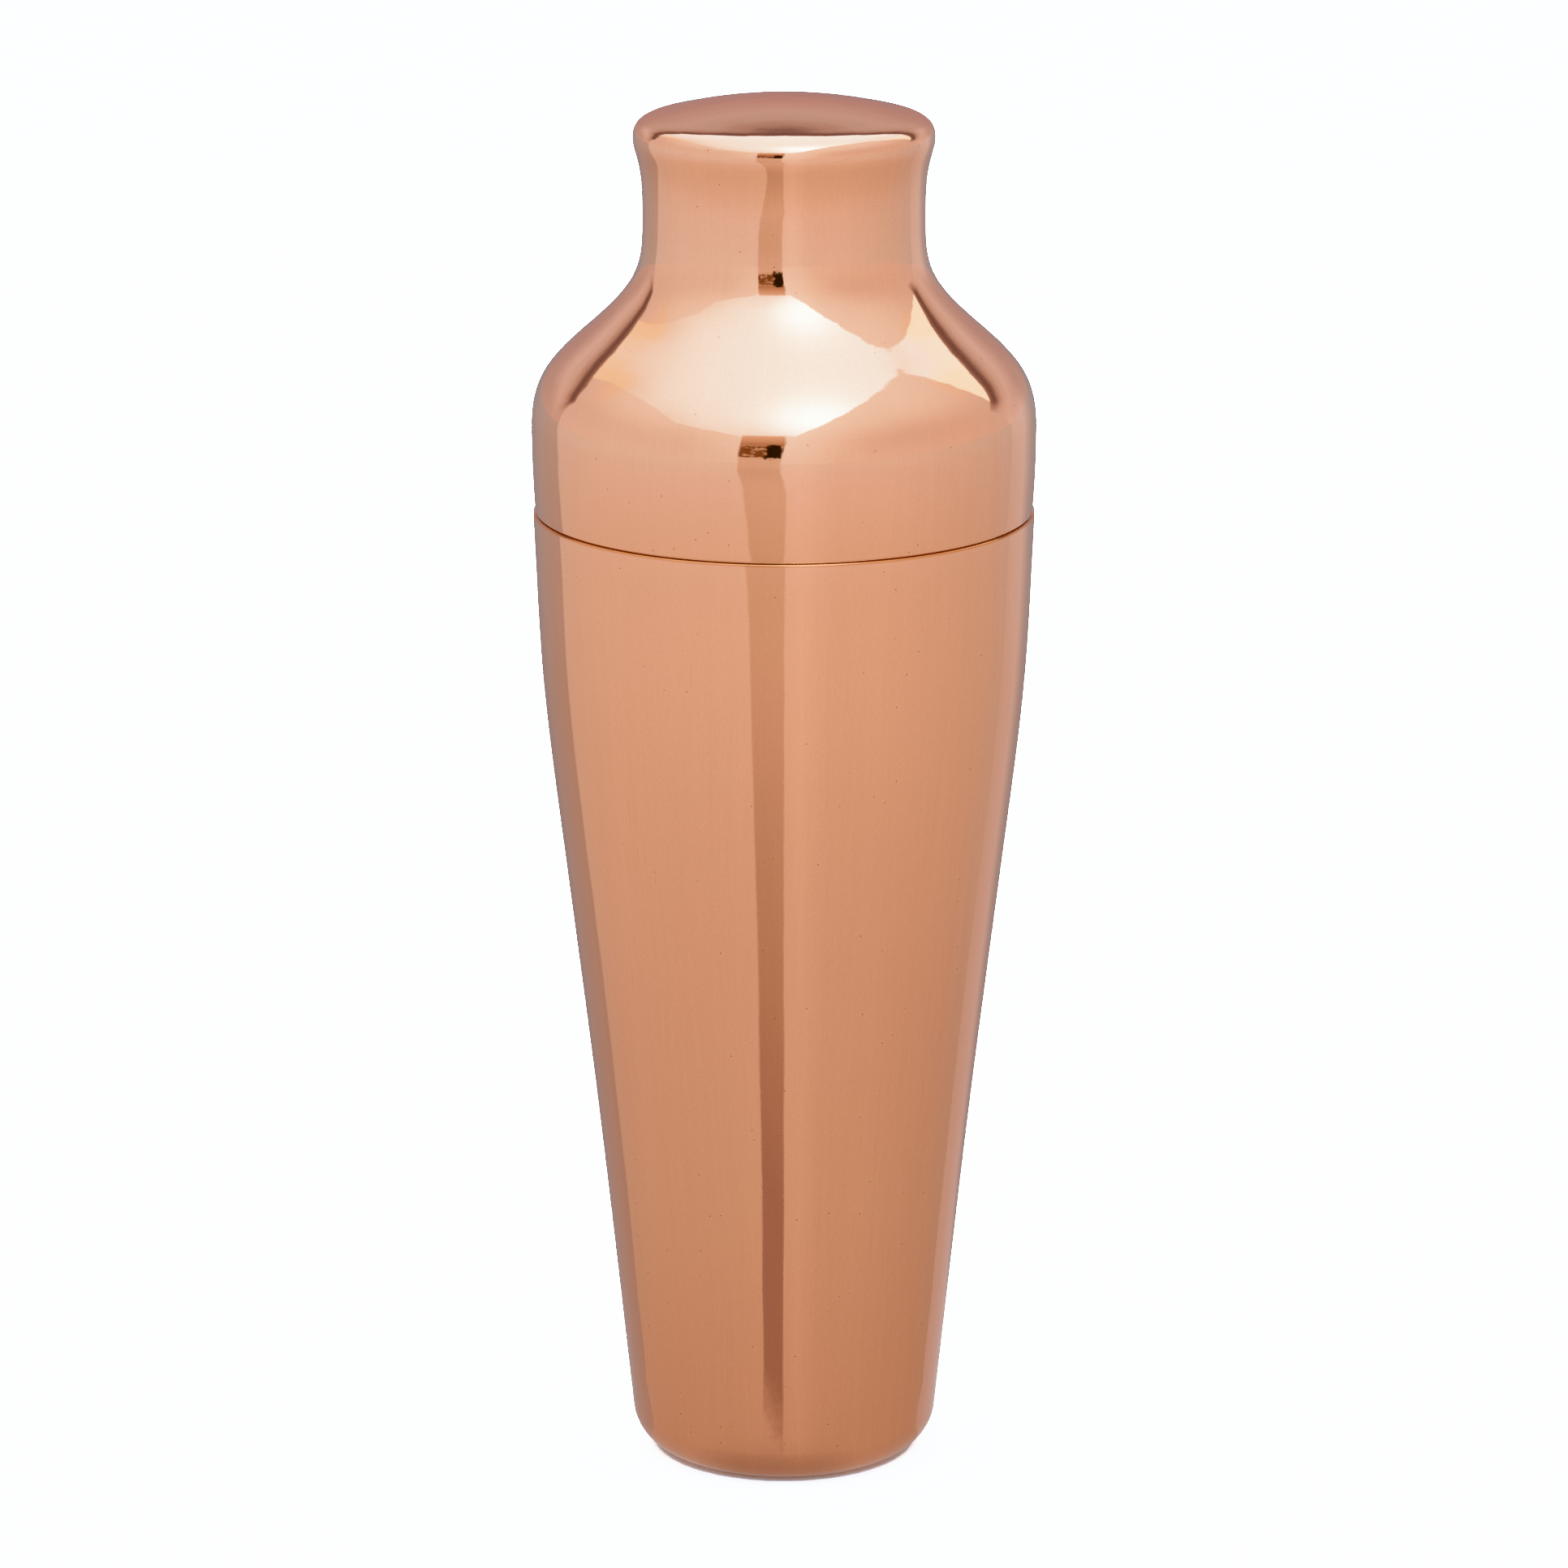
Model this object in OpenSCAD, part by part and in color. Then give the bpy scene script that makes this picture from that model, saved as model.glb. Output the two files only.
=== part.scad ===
// Two-piece cocktail shaker: a tall tapered tin, and a hollow domed cap whose spigot slips into its mouth.
// Both pieces are drawn from sheet metal, so each one is an outline turned about the Z axis.
// The origin is the centre of the foot, on the surface that the shaker stands on, and +Z points up.

/* [Tin] */
// Height of the tin from its foot to its lip
tin_h = 176; // [160:1:190]
// Outer diameter of the tin at its mouth
mouth_d = 89.6; // [88:0.1:92]
// Outer diameter of the wall at its middle station
waist_d = 71.3; // [68:0.1:74]
// Height of the middle station
waist_h = 79.3; // [70:0.1:90]
// Lean of the wall where it leaves the foot, in degrees
foot_lean = 6; // [5:0.1:7]
// Lean of the wall at the middle station, in degrees
waist_lean = 6.8; // [6:0.1:7.5]
// Lean of the wall at the mouth, in degrees
mouth_lean = 2.1; // [1.5:0.1:3]
// How long the wall keeps the middle lean, as a share of the distance to the mouth
waist_pull = 0.69; // [0.5:0.01:0.8]
// How long the wall keeps the mouth lean, as a share of the same distance
mouth_pull = 0.4; // [0.3:0.01:0.5]
// Thickness of the tin's sheet
tin_sheet = 0.7; // [0.6:0.05:1]

/* [Foot] */
// Diameter of the flat underside, where the corner starts
foot_d = 40.6; // [38:0.1:43]
// Radius of the corner between the underside and the wall
foot_corner = 7.6; // [6:0.1:9]
// Diameter of the recess pressed up into the underside
recess_d = 31; // [24:0.5:34]
// Height of the recess at its centre
recess_h = 1.5; // [0.5:0.1:2.5]

/* [Cap] */
// Height of the cap above the tin's lip
cap_h = 74; // [72:0.5:78]
// How far the cap's lower edge stands inside the tin's outer edge
skirt_inset = 0.35; // [0.2:0.05:0.4]
// How far the shoulder swells outside the tin's outer edge
shoulder_swell = 0.2; // [0:0.05:1]
// Height of the shoulder's largest diameter above the lip
shoulder_h = 15.2; // [13:0.1:17]
// Outer diameter where the shoulder's bulge turns into the neck's hollow
turn_d = 69.1; // [66:0.1:72]
// Height of that turn above the lip
turn_h = 33.3; // [32:0.1:35]
// Slope of the shoulder at that turn, in degrees above level
turn_slope = 41.3; // [38:0.1:45]
// Smallest outer diameter of the neck
neck_d = 50.2; // [47:0.1:52]
// Height of the neck's smallest diameter above the lip
neck_h = 55.2; // [53:0.1:57]
// Largest outer diameter of the head
head_d = 53.5; // [53:0.1:56]
// Height of the head's largest diameter above the lip
head_h = 67.1; // [65:0.1:68]
// Diameter of the crown, where the round edge of the head meets the low dome
crown_d = 40.9; // [38:0.1:43]
// Height of the dome above its own edge
crown_rise = 2.4; // [1.5:0.1:3]
// Thickness of the cap's sheet
cap_sheet = 0.6; // [0.5:0.05:0.8]

/* [Fit] */
// Length of the spigot that enters the tin
spigot_l = 17; // [12:0.5:22]
// Clearance all round between the spigot and the tin's inner wall
fit_gap = 0.1; // [0.05:0.01:0.15]
// Height of the fine line left between the tin's lip and the cap's lower edge
seat_gap = 0.1; // [0.05:0.01:0.2]

/* [Smoothness] */
// Steps along each curve of an outline
curve_steps = 10; // [8:1:24]
// Steps along each small rounded edge
edge_steps = 4; // [3:1:6]

/* [Hidden] */
$fn = 180;

copper = "#d99873";

// Radii of the tin's outline
mouth_r = mouth_d / 2;
waist_r = waist_d / 2;
foot_r = foot_d / 2;
recess_r = recess_d / 2;

// Radii of the cap's outline
skirt_r = mouth_r - skirt_inset;
shoulder_r = mouth_r + shoulder_swell;
turn_r = turn_d / 2;
neck_r = neck_d / 2;
head_r = head_d / 2;
crown_r = crown_d / 2;

// The round-over on both edges of the tin's lip
lip_edge = 0.35 * tin_sheet;
// The round-over on the spigot's free edge
spigot_edge = 0.4 * cap_sheet;
// Radius of the bend at the cap's lower edge, as a share of its step out from the spigot
skirt_bend_share = 0.75;
// Height over which the cap's inner face steps in from the skirt to the spigot
joggle_h = 3;

// Lengths of the curve handles on the cap, which set how full each bulge and hollow is
shoulder_pull_below = 0.4 * shoulder_h;
shoulder_pull_above = 8.7;
turn_pull_below = 9.8;
turn_pull_above = 13.1;
neck_pull_below = 10.1;
neck_pull_above = 8.1;
head_pull_below = 2.7;
head_pull_above = 3.4;

// Shares that place the handles of the skirt's gentle curve, across and up
skirt_pull_across = 0.6;
skirt_pull_up = 0.33;

// Shares that place the handles of the recess, at its centre and at its rim
recess_pull_centre = 0.45;
recess_pull_rim = 0.65;

// Unit vector along v
function unit(v) = v / norm(v);

// Direction of a wall that leans out from vertical by a number of degrees
function leaning(degrees) = [sin(degrees), cos(degrees)];

// Point at share t of the cubic curve from p0 to p3, with handles p1 and p2
function curve_point(p0, p1, p2, p3, t) =
    pow(1 - t, 3) * p0 + 3 * pow(1 - t, 2) * t * p1 + 3 * (1 - t) * pow(t, 2) * p2 + pow(t, 3) * p3;

// Points of a path after its start
function after_start(path) = [for (i = [1 : len(path) - 1]) path[i]];

// Points of that curve after its start
function curve(p0, p1, p2, p3) =
    [for (i = [1 : curve_steps]) curve_point(p0, p1, p2, p3, i / curve_steps)];

// Points of an arc about c from one angle to another, both ends included
function arc(c, r, from, to, steps) =
    [for (i = [0 : steps]) let (a = from + (to - from) * i / steps) c + r * [cos(a), sin(a)]];

// Direction of a path at its point i
function heading(path, i) = unit(path[min(i + 1, len(path) - 1)] - path[max(i - 1, 0)]);

// The path moved to its left by the sheet's thickness
function inner_face(path, sheet) =
    [for (i = [0 : len(path) - 1]) let (d = heading(path, i)) path[i] + sheet * [-d[1], d[0]]];

// The path walked the other way
function backwards(path) = [for (i = [len(path) - 1 : -1 : 0]) path[i]];

// Points of a path that lie below a height
function below(path, height) = [for (p = path) if (p[1] < height) p];

// Points of a path that lie above a height
function above(path, height) = [for (p = path) if (p[1] > height) p];

// Radius of a rising path at a height, between the two points either side of it
function radius_at(path, height) = lookup(height, [for (p = path) [p[1], p[0]]]);

// The tin's outer face from the centre of its underside to its mouth
wall_start = [foot_r, foot_corner] + foot_corner * [cos(foot_lean), -sin(foot_lean)];
waist = [waist_r, waist_h];
mouth = [mouth_r, tin_h];
lower_reach = norm(waist - wall_start) / 3;
upper_reach = norm(mouth - waist);

tin_foot = concat(
    [[0, recess_h]],
    curve([0, recess_h], [recess_pull_centre * recess_r, recess_h], [recess_pull_rim * recess_r, 0], [recess_r, 0]),
    arc([foot_r, foot_corner], foot_corner, -90, -foot_lean, curve_steps)
);
tin_wall = concat(
    curve(
        wall_start,
        wall_start + lower_reach * leaning(foot_lean),
        waist - lower_reach * leaning(waist_lean),
        waist
    ),
    curve(
        waist,
        waist + upper_reach * waist_pull * leaning(waist_lean),
        mouth - upper_reach * mouth_pull * leaning(mouth_lean),
        mouth
    )
);
tin_outer = concat(tin_foot, tin_wall);
tin_inner = inner_face(tin_outer, tin_sheet);

// The tin's lip: a rounded outer edge, a flat top and a rounded inner edge
bore_r = radius_at(above(tin_inner, tin_h / 2), tin_h);
tin_lip = concat(
    arc([mouth_r - lip_edge, tin_h - lip_edge], lip_edge, 0, 90, edge_steps),
    arc([bore_r + lip_edge, tin_h - lip_edge], lip_edge, 90, 180, edge_steps)
);

// The cap's outer face from its lower edge to the centre of its dome
seat_h = tin_h + seat_gap;
skirt = [skirt_r, seat_h];
shoulder = [shoulder_r, tin_h + shoulder_h];
turn = [turn_r, tin_h + turn_h];
neck = [neck_r, tin_h + neck_h];
head = [head_r, tin_h + head_h];
crown = [crown_r, tin_h + cap_h - crown_rise];
up = [0, 1];
turn_heading = [-cos(turn_slope), sin(turn_slope)];
dome_r = (pow(crown_r, 2) + pow(crown_rise, 2)) / (2 * crown_rise);
dome_angle = asin(crown_r / dome_r);
crown_heading = [-cos(dome_angle), sin(dome_angle)];

cap_skirt = curve(
    skirt,
    skirt + [skirt_pull_across * (shoulder_r - skirt_r), skirt_pull_up * shoulder_h],
    shoulder - shoulder_pull_below * up,
    shoulder
);
cap_shoulder = curve(
    shoulder,
    shoulder + shoulder_pull_above * up,
    turn - turn_pull_below * turn_heading,
    turn
);
cap_neck = concat(
    curve(turn, turn + turn_pull_above * turn_heading, neck - neck_pull_below * up, neck),
    curve(neck, neck + neck_pull_above * up, head - head_pull_below * up, head)
);
cap_crown = concat(
    curve(head, head + head_pull_above * up, crown - head_pull_above * crown_heading, crown),
    after_start(arc([0, tin_h + cap_h - dome_r], dome_r, 90 - dome_angle, 90, curve_steps))
);
cap_outer = concat([skirt], cap_skirt, cap_shoulder, cap_neck, cap_crown);
cap_inner = inner_face(cap_outer, cap_sheet);

// The spigot follows the tin's inner wall, a clearance inside it
spigot_end_h = tin_h - spigot_l;
spigot_end_r = radius_at(above(tin_inner, tin_h / 2), spigot_end_h) - fit_gap;
spigot_top_r = bore_r - fit_gap;
spigot_outer = [
    for (p = above(tin_inner, spigot_end_h + 2 * spigot_edge)) if (p[1] < tin_h - lip_edge) p - [fit_gap, 0]
];

// The free edge of the spigot, from its inner corner round to its outer face
spigot_tip = concat(
    arc([spigot_end_r - cap_sheet + spigot_edge, spigot_end_h + spigot_edge], spigot_edge, 180, 270, edge_steps),
    arc([spigot_end_r - spigot_edge, spigot_end_h + spigot_edge], spigot_edge, -90, 0, edge_steps)
);

// The bend from the spigot out to the skirt, which rests above the tin's lip
skirt_edge = skirt_bend_share * (skirt_r - spigot_top_r);
seat_bend = concat(
    [[spigot_top_r, seat_h]],
    arc([skirt_r - skirt_edge, seat_h + skirt_edge], skirt_edge, -90, 0, edge_steps)
);

// The inner face steps in smoothly from the skirt to the spigot
joggle_top = [radius_at(below(cap_inner, tin_h + shoulder_h), seat_h + joggle_h), seat_h + joggle_h];
joggle_foot = [spigot_top_r - cap_sheet, seat_h - joggle_h / 2];
joggle = curve(joggle_top, joggle_top - joggle_h / 2 * up, joggle_foot + joggle_h / 2 * up, joggle_foot);
spigot_inner = [for (p = backwards(below(spigot_outer, joggle_foot[1]))) p - [cap_sheet, 0]];

// The axis end of a turned outline, with the radius set to exactly zero
function on_axis(point) = [0, point[1]];

module tin() {
    outline = concat(
        below(tin_outer, tin_h - lip_edge),
        tin_lip,
        backwards(below(after_start(tin_inner), tin_h - lip_edge)),
        [on_axis(tin_inner[0])]
    );
    color(copper) rotate_extrude() polygon(outline);
}

module cap() {
    inner_from_centre = backwards(cap_inner);
    outline = concat(
        spigot_tip,
        spigot_outer,
        seat_bend,
        above(cap_outer, seat_h + skirt_edge),
        [on_axis(inner_from_centre[0])],
        above(after_start(inner_from_centre), seat_h + joggle_h),
        joggle,
        spigot_inner
    );
    color(copper) rotate_extrude() polygon(outline);
}

tin();
cap();
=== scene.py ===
"""A copper-plated two-piece cocktail shaker: its finished metal, a pale floor, a light tent and a camera.

Each piece is turned on the shaker's axis from the section of its own CAD node, so it keeps the CAD size,
and gets finer rings, exact normals and the metals. Lengths are in metres, and angles are in degrees.
"""
import math

import bpy
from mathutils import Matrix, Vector


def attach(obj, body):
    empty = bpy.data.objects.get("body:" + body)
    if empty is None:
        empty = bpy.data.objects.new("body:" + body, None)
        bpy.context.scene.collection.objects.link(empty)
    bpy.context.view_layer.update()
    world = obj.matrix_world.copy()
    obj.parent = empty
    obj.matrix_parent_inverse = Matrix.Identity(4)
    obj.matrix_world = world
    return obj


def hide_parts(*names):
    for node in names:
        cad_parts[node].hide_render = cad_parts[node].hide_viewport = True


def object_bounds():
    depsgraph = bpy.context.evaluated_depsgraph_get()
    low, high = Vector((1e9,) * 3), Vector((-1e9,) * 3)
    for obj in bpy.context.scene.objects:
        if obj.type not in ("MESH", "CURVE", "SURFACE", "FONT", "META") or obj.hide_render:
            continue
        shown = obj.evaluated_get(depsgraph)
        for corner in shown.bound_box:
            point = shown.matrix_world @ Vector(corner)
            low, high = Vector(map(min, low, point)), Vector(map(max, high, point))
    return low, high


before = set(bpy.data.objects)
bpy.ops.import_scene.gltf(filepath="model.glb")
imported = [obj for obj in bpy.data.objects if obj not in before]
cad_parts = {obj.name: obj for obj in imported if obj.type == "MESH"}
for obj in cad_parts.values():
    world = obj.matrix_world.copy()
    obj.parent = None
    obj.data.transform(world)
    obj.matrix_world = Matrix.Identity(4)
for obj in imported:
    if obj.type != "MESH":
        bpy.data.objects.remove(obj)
cad_low, cad_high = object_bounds()


# ---------------------------------------------------------------- lathe work

TURNS = 256                 # faces around each piece
SAME_RING = 3e-5            # rings of the CAD mesh closer than this are one ring
SAME_PLACE = 1e-7           # finished rings closer than this have no faces between them
STRAIGHT = 0.01             # a ring that turns the section less than this isn't a point of its outline
CORNER = 30.0               # a sharper turn than this stays an edge
CREASE = 3.0                # a smaller step in the slope than this is smoothed away
SMOOTH = 0.001              # a smaller step than this is no corner
STEP_JUMP = 1.5             # two neighbouring steps this unlike in length belong to different runs
LONGEST_STEP = 0.0022       # between two rings of a finished piece
WIDEST_TURN = 3.0           # between two rings of a finished piece


def section(node):
    """The closed section of a CAD node of revolution as (radius, height), from its lowest point on the axis."""
    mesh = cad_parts[node].data
    cell = {}
    rings = []
    ring_of = []
    for vertex in mesh.vertices:
        point = (math.hypot(vertex.co.x, vertex.co.y), vertex.co.z)
        home = (round(point[0] / SAME_RING), round(point[1] / SAME_RING))
        near = [(home[0] + i, home[1] + j) for i in (0, -1, 1) for j in (0, -1, 1)]
        found = [cell[key] for key in near if key in cell and math.dist(rings[cell[key]], point) < SAME_RING]
        if found:
            ring_of.append(found[0])
            continue
        cell[home] = len(rings)
        ring_of.append(len(rings))
        rings.append(point)
    beside = [set() for ring in rings]
    for edge in mesh.edges:
        first, second = (ring_of[index] for index in edge.vertices)
        if first != second:
            beside[first].add(second)
            beside[second].add(first)
    on_axis = [index for index, ring in enumerate(rings) if ring[0] < SAME_RING]
    here = min(on_axis, key=lambda index: rings[index][1])
    walk = [here]
    while True:
        onward = [index for index in beside[here] if index not in walk]
        if not onward:
            break
        here = onward[0]
        walk.append(here)
    points = [rings[index] for index in walk]
    for end in (0, -1):
        points[end] = (0.0, points[end][1])
    return points


def wrapped(angle):
    """The same angle from -180 to 180."""
    return (angle + 180) % 360 - 180


def heading(start, end):
    """Direction from one section point to another."""
    return math.degrees(math.atan2(end[1] - start[1], end[0] - start[0]))


def turning(before, here, after):
    """How much a section turns at a point."""
    return wrapped(heading(here, after) - heading(before, here))


def outline(points):
    """The section without the rings that lie on its straight stretches."""
    kept = [points[0]]
    for before, here, after in zip(points, points[1:], points[2:]):
        if abs(turning(before, here, after)) > STRAIGHT:
            kept.append(here)
    return kept + [points[-1]]


def headings(points):
    """Heading in and out of each outline point.

    A point inside a run of even steps takes the circle through its neighbours. Where the step length jumps,
    or at a corner, each side goes on turning as its own run does.
    """
    pairs = list(zip(points, points[1:]))
    length = [math.dist(*pair) for pair in pairs]
    along = [heading(*pair) for pair in pairs]
    inner = range(1, len(points) - 1)
    turn = [0.0] + [turning(*points[index - 1:index + 2]) for index in inner] + [0.0]
    even = [False] * len(points)
    for index in inner:
        back, ahead = length[index - 1:index + 1]
        even[index] = abs(turn[index]) < CORNER and max(back, ahead) < STEP_JUMP * min(back, ahead)
    into = [0.0] * len(points)
    out = [0.0] * len(points)
    for index in inner:
        back, ahead = length[index - 1:index + 1]
        if even[index]:
            into[index] = out[index] = along[index - 1] + turn[index] * back / (back + ahead)
            continue
        into[index] = along[index - 1]
        out[index] = along[index]
        if even[index - 1]:
            into[index] += turn[index - 1] * back / (back + length[index - 2])
        if even[index + 1]:
            out[index] -= turn[index + 1] * ahead / (ahead + length[index + 1])
        crease = wrapped(out[index] - into[index])
        if abs(crease) < CREASE:
            into[index] = out[index] = into[index] + crease / 2
    out[0] = 0.0
    into[-1] = 180.0
    return into, out


def towards(angle):
    """Unit vector along a heading."""
    return Vector((math.cos(math.radians(angle)), math.sin(math.radians(angle))))


def rounded(points):
    """The outline as fine rings of radius, height and heading in radians, with two rings at each corner."""
    into, out = headings(points)
    rings = []
    for index in range(len(points) - 1):
        start, end = Vector(points[index]), Vector(points[index + 1])
        length = (end - start).length
        turn = wrapped(into[index + 1] - out[index])
        leave = towards(out[index]) * length
        reach = towards(into[index + 1]) * length
        steps = max(1, math.ceil(length / LONGEST_STEP), math.ceil(abs(turn) / WIDEST_TURN))
        corner = index > 0 and abs(wrapped(out[index] - into[index])) > SMOOTH
        for step in range(0 if index == 0 or corner else 1, steps + 1):
            t = step / steps
            place = (start * (2 * t ** 3 - 3 * t ** 2 + 1) + leave * (t ** 3 - 2 * t ** 2 + t)
                     + end * (3 * t ** 2 - 2 * t ** 3) + reach * (t ** 3 - t ** 2))
            slope = (start * (6 * t ** 2 - 6 * t) + leave * (3 * t ** 2 - 4 * t + 1)
                     + end * (6 * t - 6 * t ** 2) + reach * (3 * t ** 2 - 2 * t))
            rings.append((max(place.x, 0.0), place.y, math.atan2(slope.y, slope.x)))
    return rings


def turned(name, rings, metals, change):
    """A lathe mesh of the rings. Faces before ring number change get the first metal, the rest the second."""
    vertices = []
    normals = []
    starts = []
    for radius, height, angle in rings:
        starts.append(len(vertices))
        if radius == 0:
            vertices.append((0.0, 0.0, height))
            normals.append((0.0, 0.0, -math.copysign(1.0, math.cos(angle))))
            continue
        for step in range(TURNS):
            around = 2 * math.pi * step / TURNS
            x, y = math.cos(around), math.sin(around)
            vertices.append((radius * x, radius * y, height))
            normals.append((math.sin(angle) * x, math.sin(angle) * y, -math.cos(angle)))
    faces = []
    metal_of = []
    for index, (ring, after) in enumerate(zip(rings, rings[1:])):
        if math.dist(ring[:2], after[:2]) < SAME_PLACE:
            continue
        low, high = starts[index], starts[index + 1]
        for step in range(TURNS):
            onward = (step + 1) % TURNS
            if ring[0] == 0:
                faces.append((low, high + onward, high + step))
            elif after[0] == 0:
                faces.append((low + step, low + onward, high))
            else:
                faces.append((low + step, low + onward, high + onward, high + step))
            metal_of.append(0 if index < change else 1)
    mesh = bpy.data.meshes.new(name)
    mesh.from_pydata(vertices, [], faces)
    for metal in metals:
        mesh.materials.append(metal)
    mesh.polygons.foreach_set("material_index", metal_of)
    mesh.polygons.foreach_set("use_smooth", [True] * len(faces))
    mesh.normals_split_custom_set_from_vertices(normals)
    mesh.validate()
    return placed(name, mesh)


def placed(name, data):
    """A new object in the scene."""
    thing = bpy.data.objects.new(name, data)
    bpy.context.scene.collection.objects.link(thing)
    return thing


# ---------------------------------------------------------------- node arithmetic

COLOUR_A, COLOUR_B, COLOUR_OUT = 6, 7, 2    # sockets of the Mix node when it mixes colours
STEP_BEND = 0.2                             # how round the two ends of a soft step are


class Wire:
    """A number or colour flowing through a node tree, with the arithmetic written as usual."""

    def __init__(self, tree, socket):
        self.tree = tree
        self.socket = socket

    def math(self, operation, *others):
        node = self.tree.nodes.new("ShaderNodeMath")
        node.operation = operation
        for slot, value in zip(node.inputs, (self, *others)):
            feed(slot, value)
        return Wire(self.tree, node.outputs[0])

    def __add__(self, other):
        return self.math("ADD", other)

    def __sub__(self, other):
        return self.math("SUBTRACT", other)

    def __mul__(self, other):
        return self.math("MULTIPLY", other)

    def __truediv__(self, other):
        return self.math("DIVIDE", other)

    def colour_math(self, operation, other):
        node = self.tree.nodes.new("ShaderNodeVectorMath")
        node.operation = operation
        feed(node.inputs[0], self)
        feed(node.inputs["Scale" if operation == "SCALE" else 1], other)
        return Wire(self.tree, node.outputs[0])

    def ramp(self, *stops):
        """Piecewise linear: each stop is (where, value), and a value is a number or a colour."""
        start, end = stops[0][0], stops[-1][0]
        values = [value if isinstance(value, tuple) else (value,) * 3 for where, value in stops]
        least = min(0.0, min(map(min, values)))
        span = max(map(max, values)) - least
        node = self.tree.nodes.new("ShaderNodeValToRGB")
        elements = node.color_ramp.elements
        for where, value in stops[1:-1]:
            elements.new((where - start) / (end - start))
        for element, value in zip(elements, values):
            element.color = (*[(part - least) / span for part in value], 1.0)
        feed(node.inputs[0], (self - start) / (end - start))
        result = Wire(self.tree, node.outputs[0])
        if isinstance(stops[0][1], tuple):
            return result.colour_math("SCALE", span)
        return result * span + least

    def above(self, edge, softness):
        """1 above the edge and 0 below it, over a soft step that wide. The edge may be a wire."""
        step = (self - edge) / softness + 0.5
        return step.math("SMOOTH_MIN", 1.0, STEP_BEND).math("SMOOTH_MAX", 0.0, STEP_BEND)

    def below(self, edge, softness):
        """0 above the edge and 1 below it."""
        return self.above(edge, -softness)

    def between(self, low, high, softness):
        """1 between low and high, and 0 outside."""
        return self.above(low, softness) * self.below(high, softness)

    def fade(self, first, second):
        """The first number where this wire is 0, and the second where it is 1."""
        return (self * -1.0 + 1.0) * first + self * second

    def mixed(self, first, second):
        """The first colour where this wire is 0, and the second where it is 1."""
        node = self.tree.nodes.new("ShaderNodeMix")
        node.data_type = "RGBA"
        feed(node.inputs["Factor"], self)
        feed(node.inputs[COLOUR_A], first)
        feed(node.inputs[COLOUR_B], second)
        return Wire(self.tree, node.outputs[COLOUR_OUT])

    def tinted(self, tint):
        """The colour times another."""
        return self.colour_math("MULTIPLY", tint)


def feed(slot, value):
    """Links a wire to an input, or sets the input's own value."""
    if isinstance(value, Wire):
        value.tree.links.new(value.socket, slot)
    elif isinstance(value, tuple) and len(slot.default_value) == 4:
        slot.default_value = (*value, 1.0)
    else:
        slot.default_value = value


def split(vector):
    """The three numbers of a vector."""
    node = vector.tree.nodes.new("ShaderNodeSeparateXYZ")
    feed(node.inputs[0], vector)
    return [Wire(vector.tree, output) for output in node.outputs]


def joined(x, y, z):
    """A vector of three numbers."""
    node = x.tree.nodes.new("ShaderNodeCombineXYZ")
    for slot, value in zip(node.inputs, (x, y, z)):
        feed(slot, value)
    return Wire(x.tree, node.outputs[0])


def off_axis(x, y, least=0.0):
    """Distance from the Z axis, or the least distance where that is more."""
    return (x * x + y * y).math("SQRT").math("MAXIMUM", least)


def azimuth_of(x, y):
    """Angle around the Z axis from the camera's side, with the right as plus."""
    return x.math("ARCTAN2", y * -1.0) * math.degrees(1)


def coordinates(tree, kind):
    """The shaded point as a vector wire."""
    return Wire(tree, tree.nodes.new("ShaderNodeTexCoord").outputs[kind])


def noise(vector, scale, seed, detail=2.0, roughness=0.5):
    """Smooth noise about 0, from -0.5 to 0.5."""
    node = vector.tree.nodes.new("ShaderNodeTexNoise")
    node.noise_dimensions = "4D"
    settings = {"Vector": vector, "W": seed, "Scale": scale, "Detail": detail, "Roughness": roughness}
    for slot, value in settings.items():
        feed(node.inputs[slot], value)
    return Wire(vector.tree, node.outputs["Fac"]) - 0.5


# ---------------------------------------------------------------- metals

AXIS_GUARD = 0.002                          # directions around the axis are worked out no closer to it than this
COPPER_DARK, COPPER_LIGHT = (0.90, 0.435, 0.265), (1.0, 0.515, 0.323)
STREAK_COLOUR = (0.86, 0.36, 0.19)
HAIR_COLOUR = (0.78, 0.36, 0.20)
PRICK_COLOUR = (0.40, 0.17, 0.10)
# the seam's darker orange below is painted shade and copper reflection
SEAM_SHADE_COLOUR = (0.74, 0.26, 0.10)
STEEL_DARK, STEEL_LIGHT = (0.82, 0.77, 0.71), (0.93, 0.87, 0.81)
SEAM_LOW, SEAM_HIGH = 0.1757, 0.1763        # painted shade and copper reflection lie here, where the two lips meet
SEAM_SOFT = 0.0004
BUFFED = ((0.16, 0.25), (0.19, 1.0))        # the shoulder and neck were buffed by hand, so they ripple more
WIDE_DEPTH = 0.0001                         # depths of the bump layers, for a height of 1
RIPPLE_DEPTH = 0.00002
DRAWN_DEPTH = 0.0000012
GRAIN_DEPTH = 0.0000016
SPUN_DEPTH = 0.000006


def new_metal(name):
    """A metal, its Principled shader, and its place on the piece as a wire."""
    material = bpy.data.materials.new(name)
    material.use_nodes = True
    tree = material.node_tree
    shader = tree.nodes["Principled BSDF"]
    shader.inputs["Metallic"].default_value = 1.0
    return material, shader, coordinates(tree, "Object")


def bumped(*layers):
    """A normal raised by several layers, each a height and the depth of a height of 1."""
    tree = layers[0][0].tree
    normal = None
    for height, depth in layers:
        node = tree.nodes.new("ShaderNodeBump")
        feed(node.inputs["Strength"], 1.0)
        feed(node.inputs["Distance"], depth)
        feed(node.inputs["Height"], height)
        if normal:
            feed(node.inputs["Normal"], normal)
        normal = Wire(tree, node.outputs["Normal"])
    return normal


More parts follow.
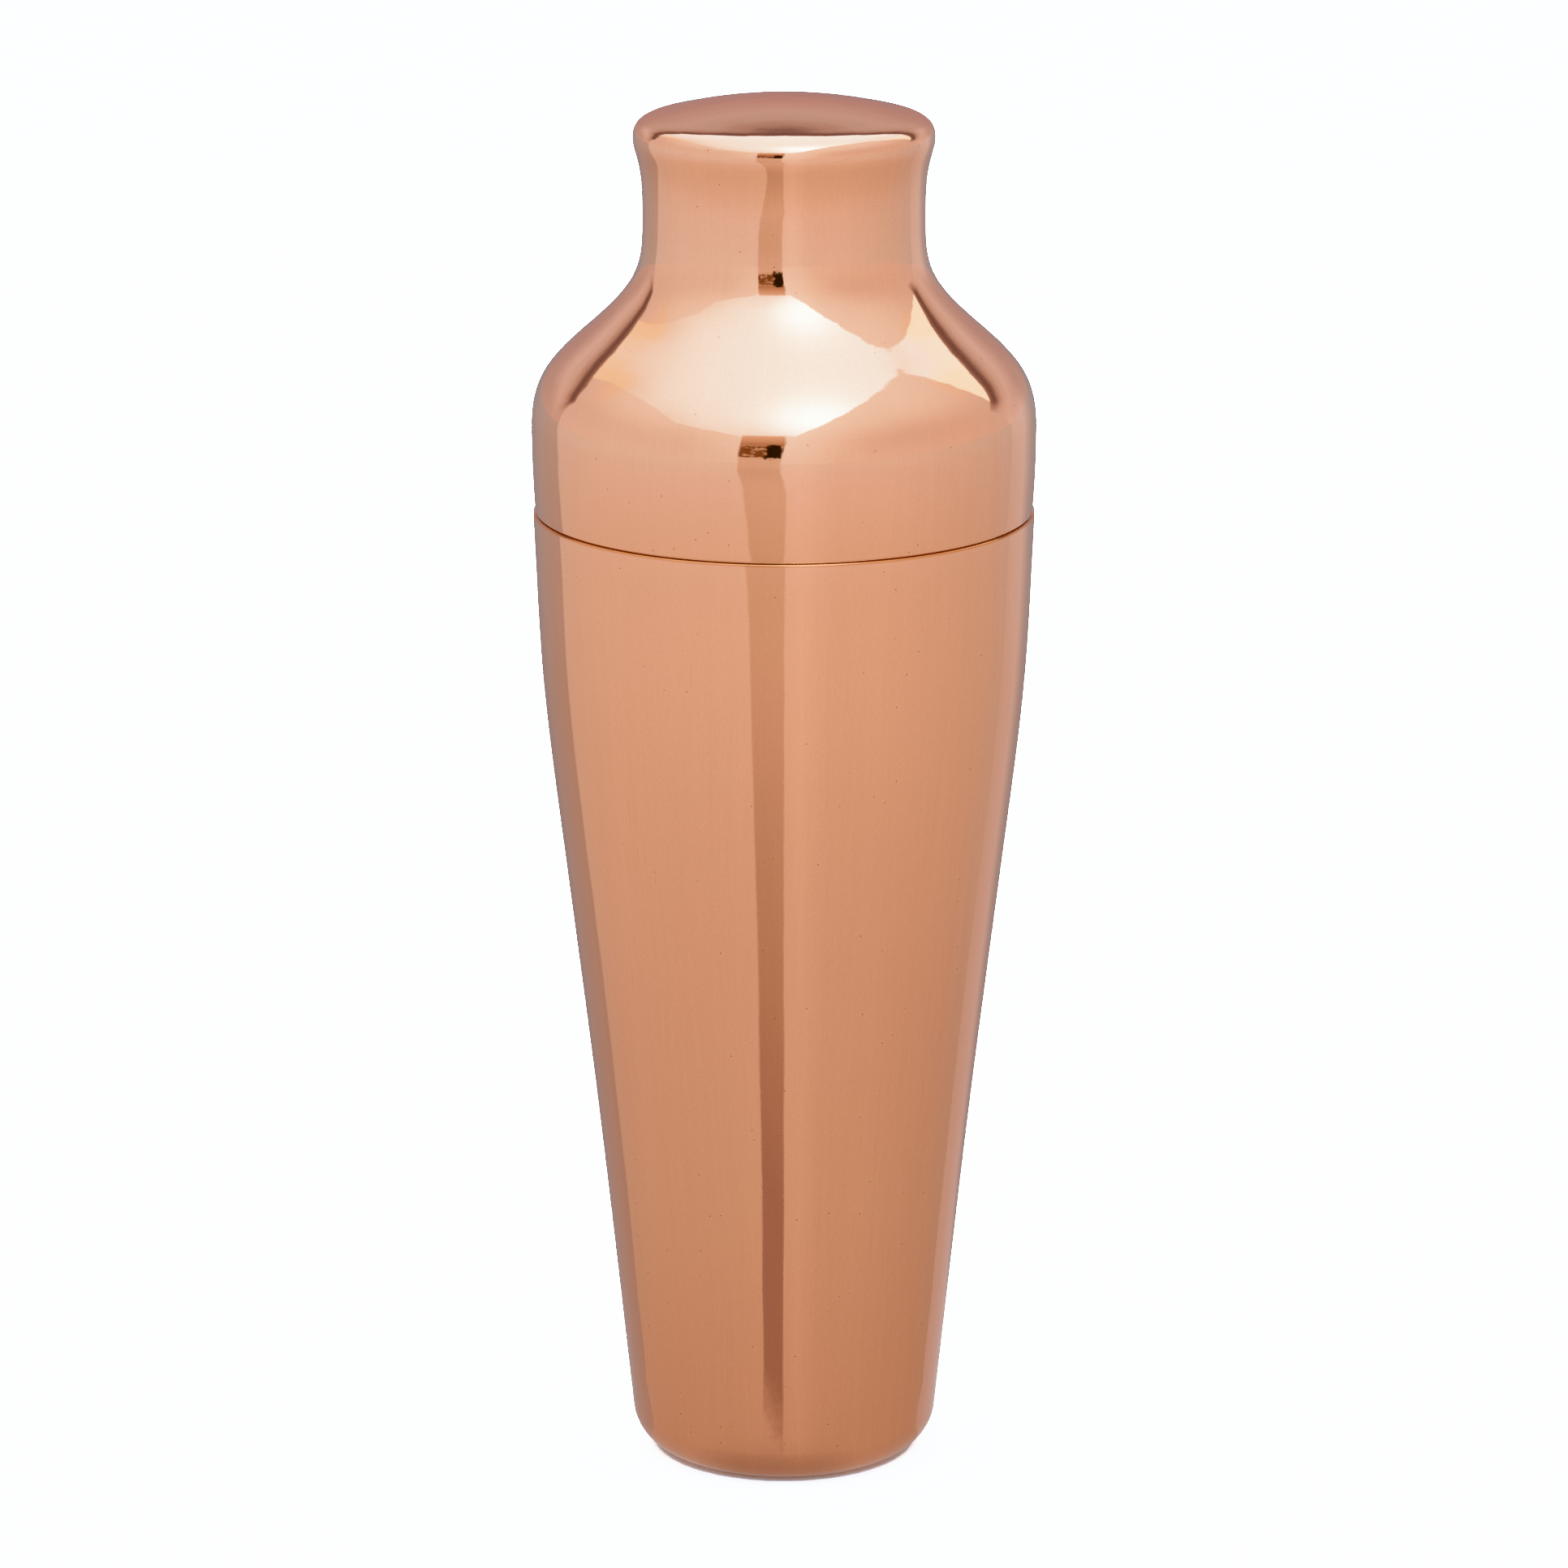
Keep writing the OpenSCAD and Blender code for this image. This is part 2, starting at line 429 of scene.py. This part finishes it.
def specks(place, scale, size, share):
    """1 in scattered pin-prick specks, and 0 elsewhere. A share of the cells has one."""
    cells = place.tree.nodes.new("ShaderNodeTexVoronoi")
    feed(cells.inputs["Vector"], place)
    feed(cells.inputs["Scale"], scale)
    near = Wire(place.tree, cells.outputs["Distance"]).below(size, size / 2)
    lot = split(Wire(place.tree, cells.outputs["Color"]))[0].below(share, 0.001)
    return near * lot


def copper(name):
    """Bright copper plate on drawn steel: upright drawing lines, polishing grain, ripples, specks, hairlines."""
    material, shader, place = new_metal(name)
    x, y, z = split(place)
    radius = off_axis(x, y, AXIS_GUARD)
    east, north = x / radius, y / radius

    drawn = noise(joined(east, north, z * 0.5), scale=150.0, seed=1.0, detail=3.0, roughness=0.6)
    bands = noise(joined(east, north, z * 1.2), scale=22.0, seed=2.0, detail=3.0, roughness=0.6)
    streaks = noise(joined(east, north, z * 0.35), scale=230.0, seed=3.0, detail=1.0).above(0.21, 0.05)
    streaks = streaks * noise(place, scale=16.0, seed=4.0).above(0.05, 0.06)
    rubbed = noise(joined(east * 0.02, north * 0.02, z), scale=2600.0, seed=5.0, detail=2.0)
    grain = noise(place, scale=2300.0, seed=6.0, detail=1.0)
    patches = noise(place, scale=35.0, seed=7.0, detail=3.0)
    pricks = specks(place, scale=520.0, size=0.07, share=0.22)
    hairs = noise(joined(x, y, z * 2.2), scale=28.0, seed=8.0, detail=0.0).math("ABSOLUTE").below(0.0007, 0.0005)
    hairs = hairs * noise(place, scale=40.0, seed=9.0).above(0.13, 0.03)
    seam = z.between(SEAM_LOW, SEAM_HIGH, SEAM_SOFT)

    shade = drawn * 0.28 + bands * 0.34 + rubbed * 0.16 + grain * 0.50 + patches * 0.14 + 0.5
    colour = shade.mixed(COPPER_DARK, COPPER_LIGHT)
    # the seam's mark paints shade and copper reflection: a darker orange band where the two lips meet
    for mark, mark_colour in ((streaks * 0.6, STREAK_COLOUR), (hairs * 0.35, HAIR_COLOUR),
                              (pricks * 0.8, PRICK_COLOUR), (seam, SEAM_SHADE_COLOUR)):
        colour = mark.mixed(colour, mark_colour)
    feed(shader.inputs["Base Color"], colour)
    feed(shader.inputs["Roughness"],
         patches * 0.02 + drawn * 0.03 + pricks * 0.3 + hairs * 0.15 + seam * 0.12 + 0.035)

    wide = noise(joined(east, north, z * 14.0), scale=2.2, seed=10.0, roughness=0.45)
    ripples = noise(place, scale=210.0, seed=11.0, detail=2.0, roughness=0.45) * z.ramp(*BUFFED)
    feed(shader.inputs["Normal"],
         bumped((wide, WIDE_DEPTH), (ripples, RIPPLE_DEPTH), (drawn, DRAWN_DEPTH), (grain, GRAIN_DEPTH)))
    return material


def steel(name):
    """Bare stainless steel, spun to a satin finish: fine rings around the axis."""
    material, shader, place = new_metal(name)
    x, y, z = split(place)
    radius = off_axis(x, y, AXIS_GUARD)
    spun = noise(joined(radius * 9000.0, x / radius, z * 9000.0), scale=1.0, seed=12.0)
    smears = noise(place, scale=60.0, seed=13.0, detail=4.0)
    feed(shader.inputs["Base Color"], (spun * 0.35 + smears * 0.3 + 0.5).mixed(STEEL_DARK, STEEL_LIGHT))
    feed(shader.inputs["Roughness"], smears * 0.12 + spun * 0.1 + 0.27)
    feed(shader.inputs["Normal"], bumped((spun, SPUN_DEPTH)))
    return material


# ---------------------------------------------------------------- the shaker

copper_plate = copper("copper_plate")
bare_steel = steel("bare_steel")

tin_rings = rounded(outline(section("tin")))
tin_top = max(range(len(tin_rings)), key=lambda index: tin_rings[index][1])
tin = turned("tin_sheet", tin_rings, (copper_plate, bare_steel), tin_top)
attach(tin, "tin")
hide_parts("tin")

cap_rings = rounded(outline(section("cap")))
cap_tip = min(range(len(cap_rings)), key=lambda index: cap_rings[index][1])
cap = turned("cap_sheet", cap_rings, (bare_steel, copper_plate), cap_tip)
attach(cap, "cap")
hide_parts("cap")


# ---------------------------------------------------------------- the light tent
#
# The metal mirrors a tent of panels. Azimuth is measured from the camera's side, with the right as plus. East and
# north are degrees from the zenith, to the right and away from the camera. Brightness 1 is a panel in full light.

SHARP = 0.8                                 # softness of the edges of the tent's panels
TONE = (                                    # the tent's colour at each brightness: warm where dim, blue where bright
    (0.0, (0.0, 0.0, 0.0)), (0.17, (0.19, 0.17, 0.20)), (0.36, (0.41, 0.36, 0.39)), (0.55, (0.57, 0.55, 0.57)),
    (0.7, (0.69, 0.70, 0.77)), (0.8, (0.77, 0.80, 0.88)), (0.95, (0.86, 0.95, 1.05)), (1.3, (1.03, 1.3, 1.5)),
    (2.2, (1.32, 2.2, 3.0)), (4.9, (2.6, 4.9, 7.2)), (8.2, (4.1, 8.2, 12.3)))

# The side panels, by azimuth near the floor and higher up, and by elevation
FRONT_PANELS = (
    (-124, 0.86), (-90, 0.96), (-30, 1.0), (2, 1.05), (8, 1.08), (20, 1.0), (45, 0.98), (90, 0.87), (125, 0.76))
HIGH_PANELS = (
    (-127, 0.8), (-90, 0.93), (-60, 0.98), (-30, 1.0), (3, 1.05), (10, 1.06), (25, 1.0), (45, 0.92), (60, 0.86),
    (90, 0.85), (127, 0.8))
PANEL_HEIGHT = ((-12, 0.98), (0, 0.98), (10, 0.97), (20, 1.0), (30, 1.1), (45, 1.3), (60, 1.5))
RIGHT_PANEL = (                             # the right-hand panel is a little warmer than the left-hand one
    (5, (1.0, 1.0, 1.0)), (25, (1.0, 0.955, 0.915)), (90, (1.0, 0.955, 0.915)), (120, (1.0, 1.0, 1.0)))
GAP_SIDES = ((-45, 0.0), (-24, 0.16), (3, 0.28), (15, 0.2), (25, 0.1), (40, 0.0))   # extra light next to the gap
GAP_SIDES_HEIGHT = ((-5, 0.2), (15, 1.0), (40, 0.8), (60, 0.0))

# The back near the floor, by azimuth, and its warmer tint away from the panels
BACK = (
    (-180, 0.36), (-165, 0.42), (-145, 0.58), (-127, 0.65), (131, 0.86), (139, 0.85), (150, 0.58), (168, 0.4),
    (180, 0.34))
FAR_BACK = (
    (125, (1.0, 1.0, 1.0)), (150, (1.0, 0.97, 0.96)), (165, (1.05, 0.92, 0.87)), (180, (1.1, 0.82, 0.74)))

# The opening at the top: degrees east of its two sides by degrees north, then its light
OPENING_LEFT = ((-70, -18), (-56, -24), (-42, -38), (-28, -46), (-8, -44), (40, -45))
OPENING_RIGHT = (
    (-75, 3), (-62, 5), (-45, 15.5), (-22, 23.5), (0, 28), (12, 31.5), (20, 40), (28, 52), (34, 61))
OPENING_NEAR = -60.0                        # degrees north of its near end
NEAR_LIGHT = ((-48, 1.4), (-40, 1.6), (-30, 1.9), (-18, 2.1), (25, 2.3))            # by degrees east
FAR_LIGHT = (
    (-46, 1.2), (-40, 1.3), (-33, 1.6), (-22, 1.95), (0, 2.3), (20, 2.2), (33, 1.8), (40, 2.2), (60, 2.1))
NORTH_FALL = ((-60, 0.75), (-50, 0.85), (-35, 0.97), (-10, 1.0), (50, 1.0))         # by degrees north
HOT_EAST, HOT_NORTH = 13.0, -35.0           # the lamp behind the opening's cloth, and its two radii
HOT_WIDTH, HOT_DEPTH = 14.0, 18.0
HOT_LIGHT = 5.8
RIM_TINT = (1.12, 1.0, 0.80)                # of the opening's far corners

# The wall behind: degrees north of its top edge by degrees east, then its light by degrees below that edge
WALL_TOP = (
    (-100, 73), (-82, 57), (-62, 36), (-50, 37), (-40, 41), (0, 48.5), (40, 40), (50, 37.5), (62, 34), (70, 30),
    (76, 48), (88, 62), (100, 71))
WALL_MIDDLE = (
    (0, 0.5), (1.5, 0.28), (4, 0.19), (6, 0.25), (8, 0.42), (12, 0.56), (18, 0.60), (30, 0.47), (45, 0.40),
    (60, 0.38), (90, 0.33))
WALL_SIDES = (
    (0, 0.5), (1.5, 0.28), (4, 0.19), (6, 0.26), (8, 0.48), (12, 0.68), (18, 0.77), (30, 0.54), (45, 0.43),
    (60, 0.38), (90, 0.33))
WALL_ENDS = ((0, 0.70), (18, 0.74), (30, 0.54), (45, 0.44), (60, 0.38), (90, 0.33))

# The gap between the two front panels, with stands and a camera at its upper end
GAP_LEFT = -20.5                            # azimuth of its left side
GAP_RIGHT = ((0, -1.5), (20, 1.0))          # azimuth of its right side by elevation
GAP_TOP = 30.0
GAP_LIGHT = (
    (-6, (0.76, 0.74, 0.73)), (2, (0.78, 0.77, 0.77)), (4, (0.66, 0.58, 0.53)), (16, (0.60, 0.50, 0.44)),
    (18, (0.52, 0.40, 0.33)), (22, (0.66, 0.55, 0.47)), (30, (0.85, 0.80, 0.74)))
STANDS_AZIMUTH, STANDS_HEIGHT = (GAP_LEFT, -7.0), (4.0, 16.0)
STANDS_COLOUR = (0.24, 0.15, 0.11)
CAMERA_AZIMUTH, CAMERA_HEIGHT = (-8.0, -0.5), (2.5, 17.0)
CAMERA_COLOUR = (0.03, 0.025, 0.02)

PLAIN_WHITE = (3.5, 3.5, 3.5)               # what the camera sees past the floor


def directions(vector):
    """Azimuth and elevation of a direction, and its degrees east and north of the zenith."""
    x, y, z = split(vector)
    flat = off_axis(x, y, 1e-6)
    elevation = z.math("ARCTAN2", flat) * math.degrees(1)
    from_zenith = elevation * -1.0 + 90.0
    return azimuth_of(x, y), elevation, from_zenith * x / flat, from_zenith * y / flat


def opening(east, north):
    """Where the tent is open at the top, and how bright the light through it is."""
    inside = east.between(north.ramp(*OPENING_LEFT), north.ramp(*OPENING_RIGHT), SHARP)
    inside = inside * north.above(OPENING_NEAR, 3.0)
    light = north.above(8.0, 16.0).fade(east.ramp(*NEAR_LIGHT), east.ramp(*FAR_LIGHT)) * north.ramp(*NORTH_FALL)
    hot_east = (east - HOT_EAST) / HOT_WIDTH
    hot_north = (north - HOT_NORTH) / HOT_DEPTH
    hot = ((hot_east * hot_east + hot_north * hot_north) * -1.0).math("EXPONENT")
    return inside, light + hot * HOT_LIGHT


def back_wall(azimuth, elevation, east, north):
    """Where the wall behind is, and how bright it is: a dark slot along its top edge, then a pale sheet."""
    depth = north - east.ramp(*WALL_TOP)
    slot = east.math("ABSOLUTE").above(29.0, 12.0).fade(depth.ramp(*WALL_MIDDLE), depth.ramp(*WALL_SIDES))
    light = east.between(-66.0, 67.0, 10.0).fade(depth.ramp(*WALL_ENDS), slot)
    return depth.above(0.0, SHARP), elevation.above(5.0, 16.0).fade(azimuth.ramp(*BACK), light)


def front_gap(sky, azimuth, elevation, vector):
    """The sky with the gap between the two front panels: a dim strip, and the stands and the camera in it."""
    strip = azimuth.between(GAP_LEFT, elevation.ramp(*GAP_RIGHT), SHARP) * elevation.below(GAP_TOP, 2.5)
    ragged = noise(vector, scale=16.0, seed=14.0, detail=4.0, roughness=0.65)
    stands = azimuth.between(*STANDS_AZIMUTH, 1.0) * (elevation + ragged * 5.0).between(*STANDS_HEIGHT, 1.0)
    body = (azimuth + ragged * 8.0).between(*CAMERA_AZIMUTH, 1.0)
    body = body * (elevation + ragged * 14.0).between(*CAMERA_HEIGHT, 1.0)
    light = (stands * ragged.above(-0.03, 0.06)).mixed(elevation.ramp(*GAP_LIGHT), STANDS_COLOUR)
    light = body.mixed(light, CAMERA_COLOUR)
    return strip.mixed(sky, light)


def tent_world():
    """The light tent that the metal mirrors, and plain white where the camera looks past the floor."""
    world = bpy.data.worlds.new("light_tent")
    bpy.context.scene.world = world
    world.use_nodes = True
    tree = world.node_tree
    tree.nodes.clear()
    vector = coordinates(tree, "Generated")
    azimuth, elevation, east, north = directions(vector)

    around = elevation.above(9.0, 18.0).fade(azimuth.ramp(*FRONT_PANELS), azimuth.ramp(*HIGH_PANELS))
    beside_gap = azimuth.ramp(*GAP_SIDES) * elevation.ramp(*GAP_SIDES_HEIGHT)
    light = elevation.ramp(*PANEL_HEIGHT) * around * (beside_gap + 1.0)
    for where, brightness in (opening(east, north), back_wall(azimuth, elevation, east, north)):
        light = where.fade(light, brightness)
    sky = light.ramp(*TONE)
    rim = east.math("ABSOLUTE").above(39.0, 5.0) * north.above(18.0, 6.0) * light.above(1.0, 0.2)
    far_back = azimuth.math("ABSOLUTE").ramp(*FAR_BACK)
    for where, tint in ((rim, RIM_TINT), (elevation.below(20.0, 16.0), far_back),
                        (elevation.below(30.0, 30.0), azimuth.ramp(*RIGHT_PANEL))):
        sky = where.mixed(sky, sky.tinted(tint))
    sky = front_gap(sky, azimuth, elevation, vector)

    seen = Wire(tree, tree.nodes.new("ShaderNodeLightPath").outputs["Is Camera Ray"])
    background = tree.nodes.new("ShaderNodeBackground")
    feed(background.inputs["Color"], seen.mixed(sky, PLAIN_WHITE))
    output = tree.nodes.new("ShaderNodeOutputWorld")
    tree.links.new(background.outputs[0], output.inputs[0])


# ---------------------------------------------------------------- the floor
#
# The camera sees one disk, and the metal mirrors the other. Tables go by the distance from the shaker.

DISK_SIDES = 96
FLOOR_RADIUS = 2.2
FLOOR_COLOUR = (0.9, 0.9, 0.9)
FLOOR_ROUGHNESS = 0.9
GLOW_RADIUS = 6.0
GLOW_DROP = 0.0002                          # how far the mirrored disk lies under the floor
NEAR_ROOM = 0.2                             # the distance at the middle of a floor table's scale

GLOW = (                                    # the front: dimmer and warmer close to the shaker
    (0.022, (0.53, 0.47, 0.46)), (0.04, (0.58, 0.52, 0.48)), (0.06, (0.61, 0.55, 0.51)), (0.13, (0.66, 0.63, 0.60)),
    (0.21, (0.70, 0.67, 0.66)), (0.33, (0.77, 0.76, 0.75)), (0.55, (0.81, 0.82, 0.83)), (0.85, (0.85, 0.90, 0.98)),
    (1.6, (0.86, 0.96, 1.08)), (6.0, (0.86, 0.98, 1.10)))
BACK_GLOW = (
    (0.03, (0.68, 0.65, 0.68)), (0.2, (0.71, 0.68, 0.71)), (0.5, (0.76, 0.75, 0.78)), (1.5, (0.85, 0.93, 1.03)),
    (6.0, (0.86, 0.98, 1.10)))
PANELS_FROM = ((0.035, -78), (0.052, -97), (0.086, -108), (0.16, -115), (0.34, -120.5), (0.6, -122), (6.0, -124))
PANELS_TO = ((0.035, 80), (0.052, 99), (0.086, 110), (0.16, 117), (0.34, 121.5), (0.6, 123.5), (6.0, 125))
STRIP_FROM = ((0.05, -11.5), (0.13, -12.5), (0.5, -15), (0.8, -18), (1.3, -20.5), (6.0, -20.5))
STRIP_TO = ((0.05, -0.5), (0.5, 0.0), (0.8, 1.0), (1.3, -1.5), (6.0, -1.5))
STRIP_TINT = (                              # what the gap's strip takes from the light, by the frayed distance
    (0.042, (0.98, 0.97, 1.0)), (0.048, (0.86, 0.82, 0.84)), (0.064, (0.60, 0.55, 0.58)), (0.13, (0.59, 0.50, 0.53)),
    (0.21, (0.72, 0.65, 0.60)), (0.33, (0.80, 0.74, 0.70)), (0.55, (0.84, 0.79, 0.72)), (0.85, (0.87, 0.80, 0.72)),
    (1.3, (0.81, 0.71, 0.62)), (6.0, (0.88, 0.76, 0.68)))


def disk(name, radius, height, material):
    """A flat round sheet under the shaker."""
    rim = []
    for step in range(DISK_SIDES):
        around = 2 * math.pi * step / DISK_SIDES
        rim.append((radius * math.cos(around), radius * math.sin(around), height))
    mesh = bpy.data.meshes.new(name)
    mesh.from_pydata(rim, [], [tuple(range(DISK_SIDES))])
    mesh.materials.append(material)
    sheet = placed(name, mesh)
    return sheet


def floor():
    """The pale floor that the camera sees."""
    material = bpy.data.materials.new("pale_floor")
    material.use_nodes = True
    shader = material.node_tree.nodes["Principled BSDF"]
    feed(shader.inputs["Base Color"], FLOOR_COLOUR)
    feed(shader.inputs["Roughness"], FLOOR_ROUGHNESS)
    sheet = disk("floor", FLOOR_RADIUS, cad_low[2], material)
    sheet.visible_glossy = False


def squeezed(reach):
    """A distance from the shaker on a scale from 0 to 1 that gives the near floor most of the room."""
    return reach / (reach + NEAR_ROOM)


def floor_ramp(reach, stops):
    """A ramp of the distance from the shaker."""
    return squeezed(reach).ramp(*[(squeezed(where), value) for where, value in stops])


def floor_glow():
    """What the metal mirrors of the floor: the light of panels and back, with the gap's strip across it."""
    material = bpy.data.materials.new("floor_glow")
    material.use_nodes = True
    material.cycles.emission_sampling = "NONE"
    tree = material.node_tree
    tree.nodes.clear()
    place = coordinates(tree, "Object")
    x, y, z = split(place)
    azimuth = azimuth_of(x, y)
    reach = off_axis(x, y)

    close = azimuth.between(-33.0, 24.0, 24.0) * reach.below(0.036, 0.016)      # the shaker's own shade in front
    front = floor_ramp(reach, GLOW).colour_math("SCALE", azimuth.ramp(*FRONT_PANELS) * (close * -0.24 + 1.0))
    warmer = (reach / (reach + 0.3)).mixed(front, front.tinted(azimuth.ramp(*RIGHT_PANEL)))
    front = azimuth.above(0.0, 1.0).mixed(front, warmer)
    back = floor_ramp(reach, BACK_GLOW).colour_math("SCALE", azimuth.ramp(*BACK))
    back = back.tinted(azimuth.math("ABSOLUTE").ramp(*FAR_BACK))
    panels = azimuth.between(floor_ramp(reach, PANELS_FROM), floor_ramp(reach, PANELS_TO), SHARP)
    light = panels.mixed(back, front)

    frayed = reach + azimuth * 0.0012 + 0.007 + noise(place, scale=260.0, seed=15.0, detail=3.0) * 0.02
    strip = azimuth.between(floor_ramp(reach, STRIP_FROM), floor_ramp(reach, STRIP_TO), SHARP)
    light = strip.mixed(light, light.tinted(floor_ramp(frayed, STRIP_TINT)))

    emission = tree.nodes.new("ShaderNodeEmission")
    feed(emission.inputs["Color"], light)
    output = tree.nodes.new("ShaderNodeOutputMaterial")
    tree.links.new(emission.outputs[0], output.inputs[0])
    sheet = disk("floor_glow", GLOW_RADIUS, cad_low[2] - GLOW_DROP, material)
    sheet.visible_camera = False
    sheet.visible_diffuse = False
    sheet.visible_shadow = False
    sheet.visible_transmission = False


# ---------------------------------------------------------------- lamp and camera

LAMP_SIZE = 5.0
LAMP_WATTS = 3500.0
LAMP_HEIGHT = 3.0
EYE = (0.0, -1.1594, 0.4365)
EYE_DOWN = 15.04                            # how far the camera looks down
LENS_MM, SENSOR_MM = 152.55, 36.0
FARTHEST = 50.0


def overhead():
    """A wide soft lamp that lights the floor, and that the metal doesn't mirror."""
    data = bpy.data.lights.new("overhead", "AREA")
    data.shape = "DISK"
    data.size = LAMP_SIZE
    data.energy = LAMP_WATTS
    lamp = placed("overhead", data)
    lamp.location = (0.0, 0.0, LAMP_HEIGHT)
    lamp.visible_glossy = False
    lamp.visible_camera = False


def camera():
    """The camera: in front of the shaker and a little above it, looking down."""
    data = bpy.data.cameras.new("camera")
    data.sensor_width = SENSOR_MM
    data.lens = LENS_MM
    data.clip_end = FARTHEST
    eye = placed("camera", data)
    eye.location = EYE
    eye.rotation_euler = (math.radians(90.0 - EYE_DOWN), 0.0, 0.0)
    bpy.context.scene.camera = eye


tent_world()
floor()
floor_glow()
overhead()
camera()
bpy.context.scene.view_settings.view_transform = "Khronos PBR Neutral"
